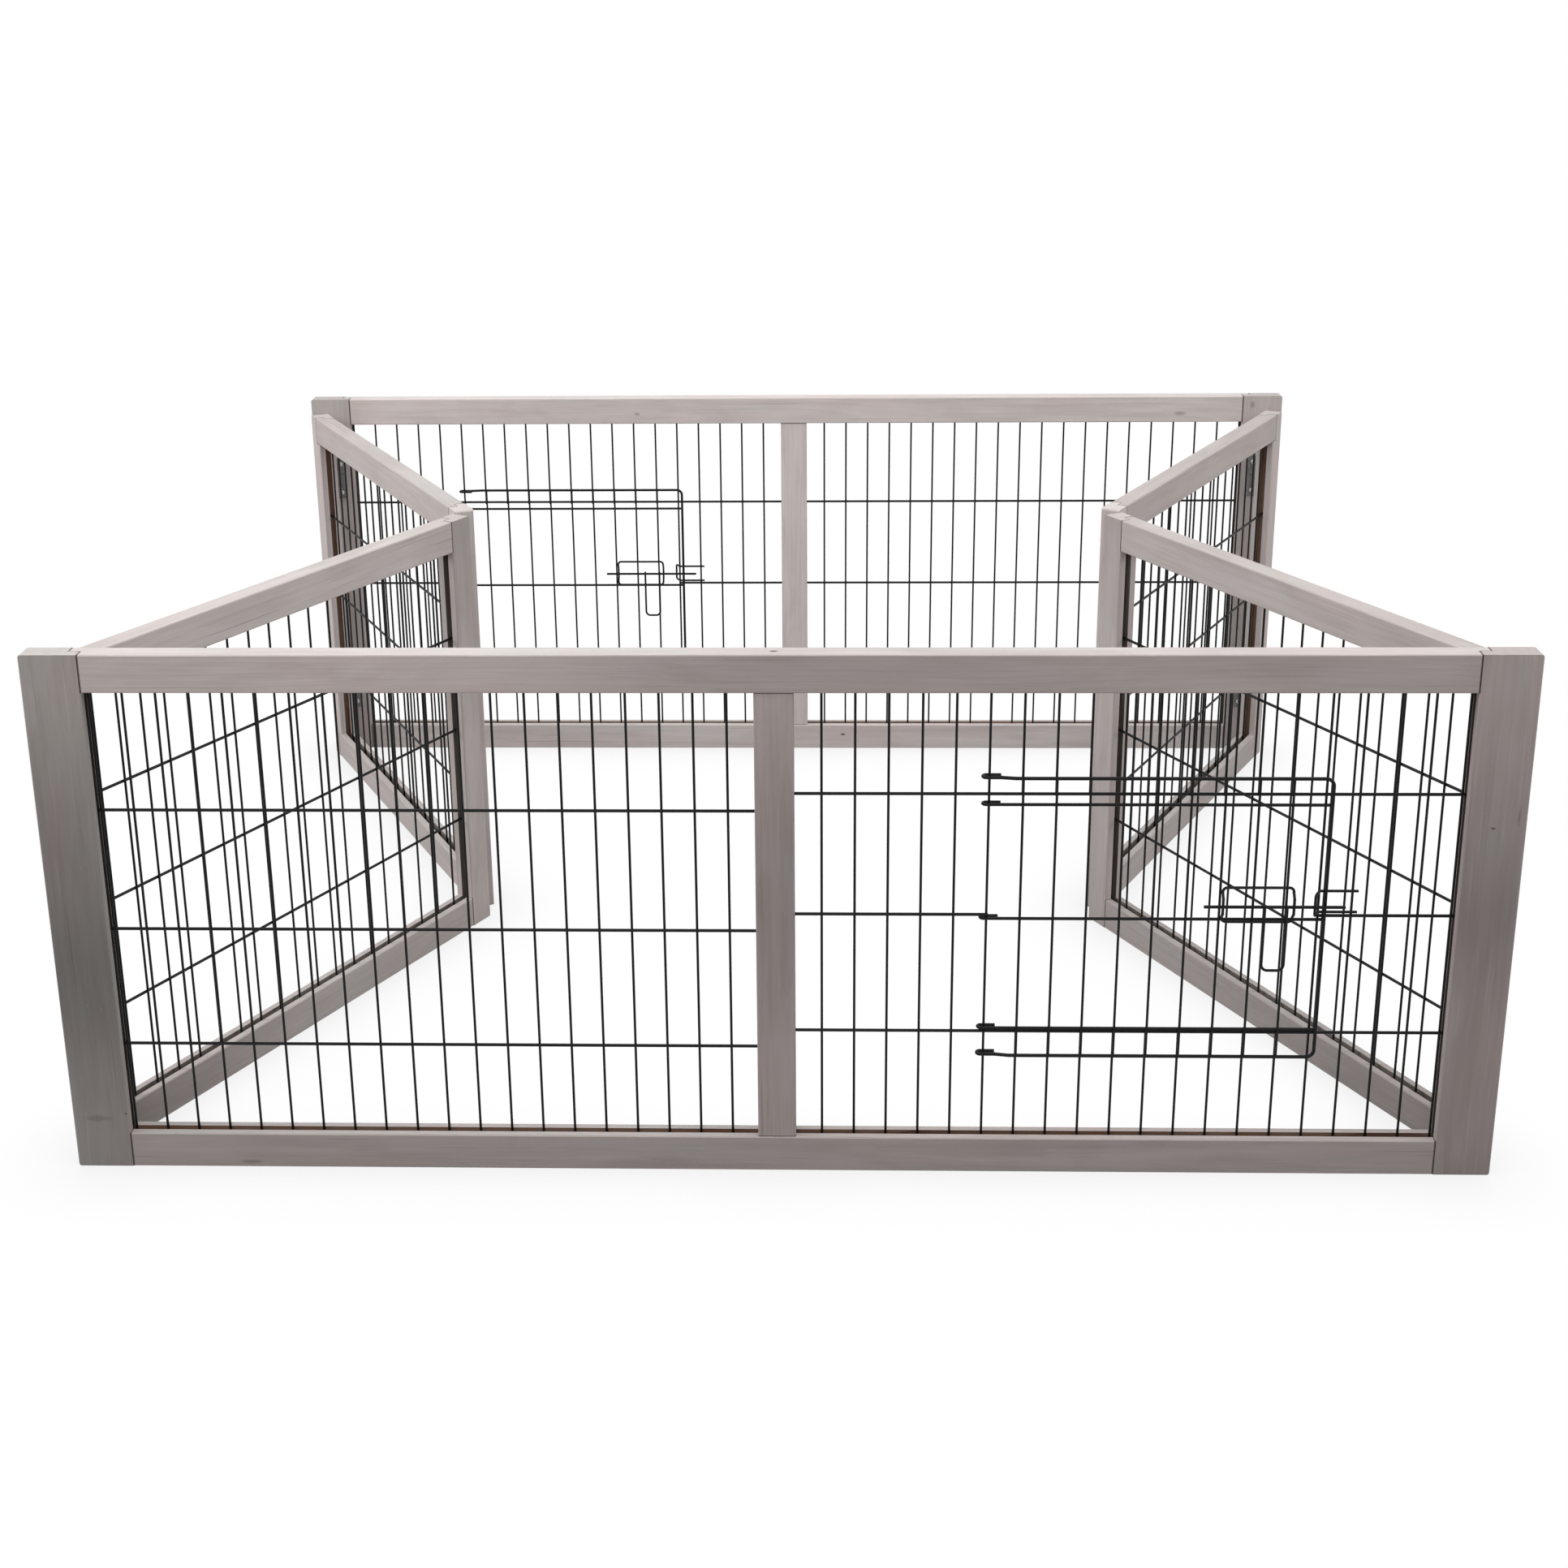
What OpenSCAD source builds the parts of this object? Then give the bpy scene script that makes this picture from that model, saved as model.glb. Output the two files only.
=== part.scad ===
// Folding outdoor rabbit run. Two long panels stand parallel, and each end is closed by a pair of
// shorter side panels that fold inwards, so the whole run closes into one flat stack.
// Every panel is a grooved pine frame round a welded wire mesh. Each long panel has a wire door
// that hangs on loops and shuts with a sliding bolt.
// +X runs along the front panel, +Y from the front panel to the back panel, +Z up from the ground.
// The origin is on the ground in the middle of the run.

/* [Long panels] */
// Length of the front and the back panel
panel_w = 1130; // [1000:5:1250]
// Height of the front and the back panel
panel_h = 434; // [420:2:520]
// Thickness of every board
board_t = 19; // [17.5:0.5:22]
// Width of the upright boards at the ends of a long panel
stile_w = 45; // [38:1:60]
// Height of the top and bottom boards
rail_h = 30; // [26:1:40]
// Width of the upright in the middle of a long panel
mullion_w = 30; // [26:1:44]
// How far the middle upright lies back from each face of the rails
mullion_recess = 1; // [0.5:0.25:2]

/* [Side panels] */
// Distance from the corner hinge axis to the fold hinge axis
side_l = 521; // [480:1:560]
// Height of the side panels
side_h = 418; // [400:1:430]
// Width of the upright boards of a side panel
side_stile_w = 28; // [24:1:40]
// Angle between each side panel and a fully opened, straight side
fold_angle = 28; // [2:1:60]

/* [Board joints] */
// Length of the half-thickness tongue at each rail end
lap_reach = 9; // [8:0.5:14]
// Width of the groove that holds the mesh
groove_w = 6; // [5:0.25:7]
// Depth of the groove that holds the mesh
groove_depth = 8; // [5:0.5:8]
// Radius of the outer corners of the frames
corner_r = 2.5; // [1:0.25:6]
// Width taken off the long edges of the boards
edge = 0.8; // [0.4:0.1:1.5]

/* [Wire mesh] */
// Distance between neighbouring upright wires
wire_pitch = 25.4; // [25.2:0.1:25.6]
// Diameter of the upright wires
wire_d = 2; // [1.6:0.1:2.4]
// Diameter of the level wires
row_d = 2.5; // [2:0.1:2.8]
// Distance from an end stile to the nearest upright wire of a long panel
wire_margin = 1.7; // [1.2:0.1:3]
// Distance from the corner stile to the first upright wire on the left side panels
left_wire_margin = 12; // [8:0.5:24]
// Distance from the corner stile to the first upright wire on the right side panels
right_wire_margin = 7.5; // [4:0.5:24]
// Gap between the upright wires and the wall of the groove behind them
groove_gap = 0.2; // [0.1:0.05:0.4]
// Gap between the ends of the wires and the bottom of the groove
wire_end_gap = 0.3; // [0.2:0.1:1]
// Distance between the level wires of a long panel
row_pitch = 100; // [98:0.5:104]
// Height of the middle level wire in the half of the front panel that has no door
front_plain_row_z = 206; // [180:0.5:240]
// Height of the middle level wire in the half of the front panel that has the door
front_door_row_z = 220.5; // [200:0.5:236]
// Height of the middle level wires of the back panel
back_row_z = 208; // [190:0.5:230]
// Distance between the level wires of a side panel
side_row_pitch = 93.5; // [80:0.5:110]
// Height of the middle level wire of a side panel
side_row_z = 207.5; // [180:0.5:240]
// Depth that crossing wires melt into each other where they are welded
weld = 0.4; // [0.3:0.05:0.5]

// How much thicker a wire is where it is bent
bend_bulge = 0.2; // [0.15:0.05:0.25]

/* [Wire door] */
// Diameter of the door's outer wire
frame_d = 2.8; // [2.6:0.1:3]
// Number of the upright wire that carries the door, counted from the left of its half
hinge_wire = 5; // [4:1:5]
// Wire spaces across the doorway
door_spaces = 10; // [9:1:10]
// Height of the door's top bar above the middle level wire
door_top = 113.5; // [112:0.5:116]
// Height of the door's second bar above the middle level wire
door_upper = 91.5; // [86:0.5:94]
// Drop of the door's middle bar below the middle level wire
door_mid_drop = 3; // [3:0.25:5]
// Drop of the door's fourth bar below the middle level wire
door_lower = 97; // [88:0.5:97]
// Drop of the door's bottom bar below the middle level wire
door_bottom = 120; // [116:0.5:124]
// Distance from the doorway's last wire to the door's free side
door_overlap = 4; // [3:0.5:6]
// How far the door's inner bars run past its free side
bar_end = 1.5; // [0.5:0.5:4]
// Gap between the fixed wires and the door's bars and upright wires
door_gap = 0.3; // [0.2:0.05:0.5]
// Gap between the fixed level wires and the door's outer wire
frame_gap = 0.2; // [0.15:0.05:0.4]
// Length of a loop's end behind the hinge wire
loop_tail = 9; // [6:0.5:12]
// Distance that a loop reaches past the hinge wire before it turns back
loop_reach = 2.2; // [1:0.1:4]
// Where the door's top and bottom bars reach the plane of its outer wire
jog_end = 20; // [16:0.5:22]
// Radius of the door's free corners, along the wire's middle
door_corner_r = 6; // [4:0.5:10]

/* [Bolt] */
// Diameter of the bolt wire
bolt_d = 2.5; // [2:0.1:2.6]
// Diameter of the wire of the bolt's guide, its handle and its catch
latch_d = 2.2; // [1.8:0.1:2.2]
// Wire spaces between the start of the guide and the doorway's last wire
guide_spaces = 3; // [3:1:4]
// How far the guide starts past the upright wire there
guide_past = 1.7; // [1.6:0.1:2.5]
// Length of the guide
guide_l = 54; // [53:0.5:56]
// How far the bolt sticks out behind the guide
bolt_tail = 14; // [8:0.5:20]
// How far the shut bolt runs past the doorway's last wire
bolt_past = 19; // [16:0.5:21]
// Height of the bolt above the middle level wire
bolt_z = 9.5; // [9:0.5:14]
// Height of the guide's lower wire above the middle level wire
guide_low_z = -3.5; // [-4.5:0.25:-2]
// Height between the two wires of the guide
guide_h = 28.5; // [27:0.5:30]
// Radius of the guide's corners, along the wire's middle
guide_r = 3.5; // [3:0.25:3.75]
// Height above the guide's lower wire where its ends turn outwards
guide_foot = 4; // [4:0.1:4.5]
// Distance between the handle's last leg and the end of the guide when the bolt is shut
handle_in = 5; // [3:0.5:6]
// Distance between the handle's legs
handle_w = 17; // [12:0.5:18]
// Drop of the handle's end below the bolt
handle_drop = 52.5; // [40:0.5:60]
// How far the handle's legs run past the bolt
handle_end = 2; // [1.5:0.25:4]
// Radius of the handle's corners, along the wire's middle
handle_r = 5; // [3:0.5:5.5]
// Gap between pieces of the latch that slide past each other
latch_gap = 0.2; // [0.15:0.05:0.3]
// Angle at which the legs of the catch turn outwards
catch_angle = 61; // [55:1:70]
// Radius of the catch's corners, along the wire's middle
catch_r = 2.5; // [2:0.25:3]
// Height of the catch's lower leg above the middle level wire
catch_low_z = 3; // [3:0.25:5]
// Height between the two legs of the catch
catch_h = 17.5; // [16:0.5:20]
// How far the stubs of wire above and below the doorway run past their level wire
stub = 0.75; // [0.5:0.25:2]
// How far the middle level wires run past the doorway's side wires
row_end = 0.2; // [0.1:0.1:0.5]
// How far the catch's legs run past the second wire that they are welded to
catch_end = 4; // [2:0.5:6]

/* [Hinges] */
// Distance from a hinge axis to the board that its leaf lies on
hinge_offset = 2.5; // [2.4:0.1:3.5]
// Distance from a fold hinge axis out to the outer faces of the boards
fold_offset = 2.7; // [2.6:0.1:4]
// Gap between the end of a side panel and the long panel
end_gap = 1; // [0.8:0.1:1.2]
// Height of a hinge
hinge_h = 48; // [40:1:60]
// Width of a leaf from the hinge axis to its edge
leaf_w = 13.5; // [12:0.25:16]
// Thickness of a leaf
leaf_t = 1.2; // [1:0.1:1.2]
// Diameter of the knuckles
knuckle_d = 4.4; // [4.2:0.1:4.6]
// Diameter of the hinge pins
pin_d = 2.2; // [1.8:0.1:2.4]
// Gap round a hinge pin
pin_gap = 0.05; // [0.04:0.01:0.08]
// Diameter of the heads of the hinge pins
pin_head_d = 3.4; // [3:0.1:4]
// Thickness of the heads of the hinge pins
pin_head_t = 0.6; // [0.4:0.1:1]
// Distance between the knuckles and the flat of the leaf
leaf_inset = 0.7; // [0.3:0.1:1.5]
// Gap between neighbouring knuckles
knuckle_gap = 0.3; // [0.2:0.05:0.5]
// Height of a corner hinge's middle above the foot of its side panel, and below its top
corner_hinge_in = 78; // [60:1:110]
// The same for a fold hinge
fold_hinge_in = 70; // [60:1:110]
// Distance between the two screws of a leaf
screw_spacing = 34; // [26:1:38]
// Distance from the hinge axis to the screws
screw_x = 8; // [7:0.25:9]
// Diameter of a screw's shank
screw_d = 2.5; // [2:0.1:3]
// Diameter of a screw's head
screw_head_d = 4.8; // [4:0.1:5]
// Height of the rounded top of a screw's head
screw_dome = 0.5; // [0.3:0.1:0.7]
// Diameter of the flat on top of a screw's head
screw_flat_d = 3.2; // [2.5:0.1:3.8]
// Length of a screw
screw_l = 10; // [8:0.5:12]
// Gap round a screw
screw_gap = 0.05; // [0.03:0.01:0.1]
// Gap between the end of a screw and the end of its hole
screw_end_gap = 0.3; // [0.2:0.1:1]

/* [Hidden] */

$fn = 32;
cut = 1;

WOOD = [0.66, 0.62, 0.60];
WIRE = [0.08, 0.08, 0.08];
ZINC = [0.62, 0.60, 0.55];
STEEL = [0.80, 0.80, 0.80];

// Plan of the run. A side panel has its own axes, which start at its corner hinge: a runs along
// the panel and b points out of the run.
axis_x = panel_w / 2 - hinge_offset - board_t;
fold_b = hinge_offset + board_t + fold_offset;
half_depth = board_t + hinge_offset + side_l * cos(fold_angle) + fold_b * sin(fold_angle);
side_start = end_gap - hinge_offset;
side_len = side_l - hinge_offset - side_start;
side_open = side_len - 2 * side_stile_w;
half_open = (panel_w - mullion_w) / 2 - stile_w;

// The upright wires stand just in front of the groove's rear wall
mesh_y = (board_t + groove_w - wire_d) / 2 - groove_gap;
mesh_foot = rail_h - groove_depth + wire_end_gap;
mesh_side = wire_end_gap - groove_depth;
half_wires = 1 + floor((half_open - 2 * wire_margin) / wire_pitch);
left_side_wires = 1 + floor((side_open - left_wire_margin - wire_margin) / wire_pitch);
right_side_wires = 1 + floor((side_open - right_wire_margin - wire_margin) / wire_pitch);
left_first = wire_margin;
right_first = half_open - wire_margin - (half_wires - 1) * wire_pitch;

// Layers of the wires, counted from the plane of the upright mesh wires. The outside is at -y.
row_y = weld - (wire_d + row_d) / 2;
catch_y = weld - (wire_d + latch_d) / 2;
bar_y = -(wire_d + row_d) / 2 - door_gap;
door_wire_y = bar_y - (row_d + wire_d) / 2 + weld;
frame_y = row_y - (row_d + frame_d) / 2 - frame_gap;
guide_y = door_wire_y - (wire_d + latch_d) / 2 + weld;
bolt_y = frame_y - (frame_d + bolt_d) / 2 - latch_gap;
handle_y = bolt_y - (bolt_d + latch_d) / 2 + weld;
over_bolt_y = bolt_y - (bolt_d + latch_d) / 2 - latch_gap;

door_w = door_spaces * wire_pitch;
door_edge = door_w + door_overlap;
guide_x = door_w - guide_spaces * wire_pitch + guide_past;
handle_x = guide_x + guide_l - handle_in - handle_w;

// ---------------------------------------------------------------- places

// Front panel: its outer face is the plane y = 0
module at_front() {
    translate([0, -half_depth, 0]) children();
}

// Wires and hinges of the back panel: the front ones, turned to face away from the run
module at_back() {
    mirror([0, 1, 0]) at_front() children();
}

// Boards of the back panel, which stand the same way round as those of the front panel
module at_back_boards() {
    translate([0, half_depth - board_t, 0]) children();
}

// Side panel at the left or right end, in the front or back half
module at_side(right, back) {
    mirror([right ? 1 : 0, 0, 0])
        mirror([0, back ? 1 : 0, 0])
            translate([-axis_x, board_t + hinge_offset - half_depth, 0])
                rotate([0, 0, 90 - fold_angle]) children();
}

// Boards of a side panel, with y = 0 on the face towards the run
module at_side_boards() {
    translate([side_start, hinge_offset, 0]) children();
}

// Left or right opening of a long panel
module in_half(right) {
    translate([right ? mullion_w / 2 : stile_w - panel_w / 2, mesh_y, 0]) children();
}

// Hinge wire of the door in that opening
module at_door(first, mid_z) {
    translate([first + hinge_wire * wire_pitch, 0, mid_z]) children();
}

// ---------------------------------------------------------------- wires

// Straight piece of wire from p to q
module wire(p, q, d) {
    v = q - p;
    l = norm(v);
    translate(p)
        rotate([0, acos(v[2] / l), atan2(v[1], v[0])])
            cylinder(d = d, h = l);
}

// Wire through a list of points, a little thicker where it is bent
module bent_wire(points, d) {
    for (i = [1 : len(points) - 1]) wire(points[i - 1], points[i], d);
    for (i = [1 : len(points) - 2]) translate(points[i]) sphere(d = d + bend_bulge);
}

// Quarter ring of wire in an upright plane, round the point (x, y, z). Quarter 0 runs from the
// right to the top, 1 from the top to the left, 2 on to the bottom, 3 back to the right.
module upright_corner(x, y, z, r, d, quarter) {
    translate([x, y, z])
        rotate([90, 0, 0])
            rotate([0, 0, quarter * 90])
                rotate_extrude(angle = 90) translate([r, 0]) circle(d = d);
}

module upright(x, z0, z1) {
    translate([x, 0, z0]) cylinder(d = wire_d, h = z1 - z0);
}

module level(x0, x1, z) {
    translate([x0, row_y, z]) rotate([0, 90, 0]) cylinder(d = row_d, h = x1 - x0);
}

// Mesh without a doorway, in a frame of height h whose opening is open_w wide
module plain_mesh(open_w, h, first, count, mid_z, pitch) {
    for (i = [0 : count - 1])
        upright(first + i * wire_pitch, mesh_foot, h - mesh_foot);
    for (i = [-1 : 1])
        level(mesh_side, open_w - mesh_side, mid_z + i * pitch);
}

// Mesh of a long panel with the doorway and the catch for the bolt
module door_mesh(first, mid_z) {
    hinge_x = first + hinge_wire * wire_pitch;
    edge_x = hinge_x + door_w;
    low_z = mid_z - row_pitch;
    top_z = mid_z + row_pitch;
    past = row_d / 2 + stub;
    for (i = [0 : half_wires - 1])
        if (i > hinge_wire && i < hinge_wire + door_spaces) {
            upright(first + i * wire_pitch, mesh_foot, low_z + past);
            upright(first + i * wire_pitch, top_z - past, panel_h - mesh_foot);
        } else {
            upright(first + i * wire_pitch, mesh_foot, panel_h - mesh_foot);
        }
    level(mesh_side, half_open - mesh_side, low_z);
    level(mesh_side, half_open - mesh_side, top_z);
    level(mesh_side, hinge_x + wire_d / 2 + row_end, mid_z);
    level(edge_x - wire_d / 2 - row_end, half_open - mesh_side, mid_z);
    translate([edge_x, 0, mid_z + catch_low_z]) catch();
}

// Two legs welded across the doorway's last wire and the next one, which turn outwards and are
// joined by a bar in front of the bolt
module catch() {
    leg = round(10 * (catch_y - over_bolt_y) / sin(catch_angle)) / 10;
    for (z = [0, catch_h]) translate([0, catch_y, z]) {
        wire([0, 0, 0], [wire_pitch + catch_end, 0, 0], latch_d);
        sphere(d = latch_d + 2 * bend_bulge);
    }
    translate([0, catch_y, 0]) rotate([0, 0, catch_angle - 180]) {
        for (z = [0, catch_h])
            wire([0, 0, z], [leg - catch_r, 0, z], latch_d);
        upright_corner(leg - catch_r, 0, catch_h - catch_r, catch_r, latch_d, 0);
        upright_corner(leg - catch_r, 0, catch_r, catch_r, latch_d, 3);
        wire([leg, 0, catch_r], [leg, 0, catch_h - catch_r], latch_d);
    }
}

// ---------------------------------------------------------------- door and bolt

// Level loop of wire of diameter d round the hinge wire at x = 0, from the front of that wire to
// an end behind it
module hinge_loop(r, d) {
    translate([-loop_reach, 0, 0])
        rotate([0, 0, 90])
            rotate_extrude(angle = 180) translate([r, 0]) circle(d = d);
    wire([-loop_reach, r, 0], [loop_tail, r, 0], d);
}

// Straight bar across the door, right in front of the hinge wire
module inner_bar(z) {
    translate([0, 0, z]) {
        wire([-loop_reach, bar_y, 0], [door_edge + bar_end, bar_y, 0], row_d);
        hinge_loop(-bar_y, row_d);
    }
}

// Top or bottom bar of the outer wire, which jogs back to the hinge wire
module outer_bar(z) {
    r = (wire_d + frame_d) / 2 + door_gap;
    translate([0, 0, z]) {
        bent_wire([[door_edge - door_corner_r, frame_y, 0], [jog_end, frame_y, 0],
            [loop_tail, -r, 0], [-loop_reach, -r, 0]], frame_d);
        hinge_loop(r, frame_d);
    }
}

// Wire door with the guide for its bolt, hung on the z axis. Its outer wire makes the top bar, the
// free side and the bottom bar, and its inner bars are behind its upright wires.
module door() {
    inner_x = door_edge - door_corner_r;
    outer_bar(door_top);
    outer_bar(-door_bottom);
    upright_corner(inner_x, frame_y, door_top - door_corner_r, door_corner_r, frame_d, 0);
    upright_corner(inner_x, frame_y, door_corner_r - door_bottom, door_corner_r, frame_d, 3);
    wire([door_edge, frame_y, door_corner_r - door_bottom],
        [door_edge, frame_y, door_top - door_corner_r], frame_d);
    for (z = [door_upper, -door_mid_drop, -door_lower]) inner_bar(z);
    for (i = [1 : door_spaces - 1])
        translate([i * wire_pitch, door_wire_y, -door_bottom])
            cylinder(d = wire_d, h = door_bottom + door_top);
    bolt_guide();
}

// Closed loop of wire. Its long sides are welded to the door, and its ends stand out round the
// bolt.
module bolt_guide() {
    x0 = guide_x;
    x1 = guide_x + guide_l;
    z0 = guide_low_z;
    z1 = guide_low_z + guide_h;
    rise = guide_y - over_bolt_y;
    for (z = [z0, z1])
        wire([x0 + guide_r, guide_y, z], [x1 - guide_r, guide_y, z], latch_d);
    upright_corner(x1 - guide_r, guide_y, z1 - guide_r, guide_r, latch_d, 0);
    upright_corner(x0 + guide_r, guide_y, z1 - guide_r, guide_r, latch_d, 1);
    upright_corner(x0 + guide_r, guide_y, z0 + guide_r, guide_r, latch_d, 2);
    upright_corner(x1 - guide_r, guide_y, z0 + guide_r, guide_r, latch_d, 3);
    for (x = [x0, x1])
        bent_wire([[x, guide_y, z0 + guide_r], [x, guide_y, z0 + guide_foot],
            [x, over_bolt_y, z0 + guide_foot + rise], [x, over_bolt_y, z1 - guide_foot - rise],
            [x, guide_y, z1 - guide_foot], [x, guide_y, z1 - guide_r]], latch_d);
}

// Sliding bolt with its handle hanging down in front of it, in the shut position
module bolt() {
    x0 = handle_x;
    x1 = handle_x + handle_w;
    end_z = bolt_z - handle_drop;
    wire([guide_x - bolt_tail, bolt_y, bolt_z], [door_w + bolt_past, bolt_y, bolt_z], bolt_d);
    for (x = [x0, x1])
        wire([x, handle_y, end_z + handle_r], [x, handle_y, bolt_z + handle_end], latch_d);
    wire([x0 + handle_r, handle_y, end_z], [x1 - handle_r, handle_y, end_z], latch_d);
    upright_corner(x0 + handle_r, handle_y, end_z + handle_r, handle_r, latch_d, 2);
    upright_corner(x1 - handle_r, handle_y, end_z + handle_r, handle_r, latch_d, 3);
}

// ---------------------------------------------------------------- boards

// Cross-section of a board with its edges taken off
module section(w, h) {
    polygon([[edge, 0], [w - edge, 0], [w, edge], [w, h - edge], [w - edge, h], [edge, h],
        [0, h - edge], [0, edge]]);
}

// What one rounded corner takes off a frame
module corner_cut() {
    difference() {
        translate([-cut, -cut]) square(corner_r + cut);
        translate([corner_r, corner_r]) circle(r = corner_r);
    }
}

// Upright board at the left end of a frame of height h. The rails' tongues are let into the rear
// of its right edge, and the groove for the mesh runs between them.
module stile(board_w, h) {
    difference() {
        linear_extrude(h) section(board_w, board_t);
        for (side = [0, 1])
            translate([0, board_t + cut, side * h])
                rotate([90, 0, 0])
                    linear_extrude(board_t + 2 * cut) mirror([0, side]) corner_cut();
        for (z = [-cut, h - rail_h])
            translate([board_w - lap_reach, board_t / 2, z])
                cube([lap_reach + cut, board_t / 2 + cut, rail_h + cut]);
        translate([board_w - groove_depth, (board_t - groove_w) / 2, rail_h - groove_depth])
            cube([groove_depth + cut, groove_w, h - 2 * (rail_h - groove_depth)]);
    }
}

// Bottom board between two stiles whose inner edges are l apart, from x = 0. The groove for the
// mesh runs along its top.
module rail(l) {
    difference() {
        union() {
            rotate([90, 0, 90]) linear_extrude(l) section(board_t, rail_h);
            translate([-lap_reach, 0, 0]) rotate([90, 0, 90])
                linear_extrude(l + 2 * lap_reach) intersection() {
                    section(board_t, rail_h);
                    translate([board_t / 2, 0]) square([board_t / 2, rail_h]);
                }
        }
        translate([-lap_reach - cut, (board_t - groove_w) / 2, rail_h - groove_depth])
            cube([l + 2 * (lap_reach + cut), groove_w, groove_depth + cut]);
    }
}

// Top board of a frame of height h: the bottom board turned upside down
module top_rail(l, h) {
    translate([0, 0, h]) mirror([0, 0, 1]) rail(l);
}

// Upright in the middle of a long panel, with tongues in the grooves of the rails
module mullion() {
    foot = rail_h - groove_depth;
    difference() {
        union() {
            translate([-mullion_w / 2, mullion_recess, rail_h])
                linear_extrude(panel_h - 2 * rail_h)
                    section(mullion_w, board_t - 2 * mullion_recess);
            translate([-mullion_w / 2, (board_t - groove_w) / 2, foot])
                cube([mullion_w, groove_w, panel_h - 2 * foot]);
        }
        for (side = [-1, 1])
            translate([side * mullion_w / 2 - groove_depth, (board_t - groove_w) / 2, foot - cut])
                cube([2 * groove_depth, groove_w, panel_h]);
    }
}

module panel_stile(right) {
    mirror([right ? 1 : 0, 0, 0]) translate([-panel_w / 2, 0, 0]) stile(stile_w, panel_h);
}

module panel_rail() {
    translate([stile_w - panel_w / 2, 0, 0]) rail(panel_w - 2 * stile_w);
}

module panel_top_rail() {
    translate([stile_w - panel_w / 2, 0, 0]) top_rail(panel_w - 2 * stile_w, panel_h);
}

// ---------------------------------------------------------------- hinges

// Leaf of a butt hinge. The hinge axis is the z axis, the leaf points along +x, and the board has
// its face at y = hinge_offset. The middle leaf has the middle knuckle.
module leaf(middle) {
    plate_x = knuckle_d / 2 + leaf_inset;
    half_h = hinge_h / 2;
    near = hinge_h / 6 - knuckle_gap / 2;
    far = hinge_h / 6 + knuckle_gap / 2;
    spans = middle ? [[-near, near]] : [[-half_h, -far], [far, half_h]];
    difference() {
        union() {
            translate([plate_x, hinge_offset - leaf_t, -half_h])
                cube([leaf_w - plate_x, leaf_t, hinge_h]);
            for (s = spans) translate([0, 0, s[0]]) {
                cylinder(d = knuckle_d, h = s[1] - s[0]);
                translate([0, hinge_offset - leaf_t, 0]) cube([plate_x, leaf_t, s[1] - s[0]]);
            }
        }
        cylinder(d = pin_d + 2 * pin_gap, h = hinge_h + 2 * cut, center = true);
        at_screws() screw_hole();
    }
}

// The two screws of a leaf, with +z pointing out of the board
module at_screws() {
    for (side = [-1, 1])
        translate([screw_x, hinge_offset - leaf_t, side * screw_spacing / 2])
            rotate([90, 0, 0]) children();
}

module screw_hole() {
    translate([0, 0, -screw_l - screw_end_gap])
        cylinder(d = screw_d + 2 * screw_gap, h = screw_l + screw_end_gap + cut);
    translate([0, 0, -leaf_t])
        cylinder(d1 = screw_d + 2 * screw_gap, d2 = screw_head_d + 2 * screw_gap, h = leaf_t);
}

// Countersunk screw with a low raised head and a plain shank
module screw() {
    translate([0, 0, -screw_l]) cylinder(d = screw_d, h = screw_l);
    translate([0, 0, -leaf_t]) cylinder(d1 = screw_d, d2 = screw_head_d, h = leaf_t);
    cylinder(d1 = screw_head_d, d2 = screw_flat_d, h = screw_dome);
}

// Pin with a flat head at each end
module pin() {
    cylinder(d = pin_d, h = hinge_h, center = true);
    for (side = [0, 1])
        mirror([0, 0, side]) translate([0, 0, hinge_h / 2]) cylinder(d = pin_head_d, h = pin_head_t);
}

// Hinges on a long panel, at both ends or at one
module at_panel_hinges(sides) {
    for (right = sides, z = [corner_hinge_in, side_h - corner_hinge_in])
        mirror([right, 0, 0])
            translate([-axis_x, board_t + hinge_offset, z]) mirror([0, 1, 0]) children();
}

// Hinges on a side panel, in its own axes
module at_corner_hinges() {
    for (z = [corner_hinge_in, side_h - corner_hinge_in]) translate([0, 0, z]) children();
}

module at_fold_hinges() {
    for (z = [fold_hinge_in, side_h - fold_hinge_in])
        translate([side_l, fold_b, z]) mirror([1, 1, 0]) children();
}

// ---------------------------------------------------------------- front panel

module front_stile(right) {
    color(WOOD) at_front() difference() {
        panel_stile(right);
        at_panel_hinges([right ? 1 : 0]) at_screws() screw_hole();
    }
}

module front_left_stile() { front_stile(false); }
module front_right_stile() { front_stile(true); }
module front_top_rail() { color(WOOD) at_front() panel_top_rail(); }
module front_bottom_rail() { color(WOOD) at_front() panel_rail(); }
module front_mullion() { color(WOOD) at_front() mullion(); }

module front_left_mesh() {
    color(WIRE) at_front() in_half(false)
        plain_mesh(half_open, panel_h, left_first, half_wires, front_plain_row_z, row_pitch);
}

module front_right_mesh() {
    color(WIRE) at_front() in_half(true) door_mesh(right_first, front_door_row_z);
}

module front_door() {
    color(WIRE) at_front() in_half(true) at_door(right_first, front_door_row_z) door();
}

module front_bolt() {
    color(WIRE) at_front() in_half(true) at_door(right_first, front_door_row_z) bolt();
}

module front_hinge_leaves() { color(ZINC) at_front() at_panel_hinges([0, 1]) leaf(false); }
module front_hinge_pins() { color(STEEL) at_front() at_panel_hinges([0, 1]) pin(); }
module front_hinge_screws() { color(STEEL) at_front() at_panel_hinges([0, 1]) at_screws() screw(); }

// ---------------------------------------------------------------- back panel

module back_stile(right) {
    color(WOOD) difference() {
        at_back_boards() panel_stile(right);
        at_back() at_panel_hinges([right ? 1 : 0]) at_screws() screw_hole();
    }
}

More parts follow.
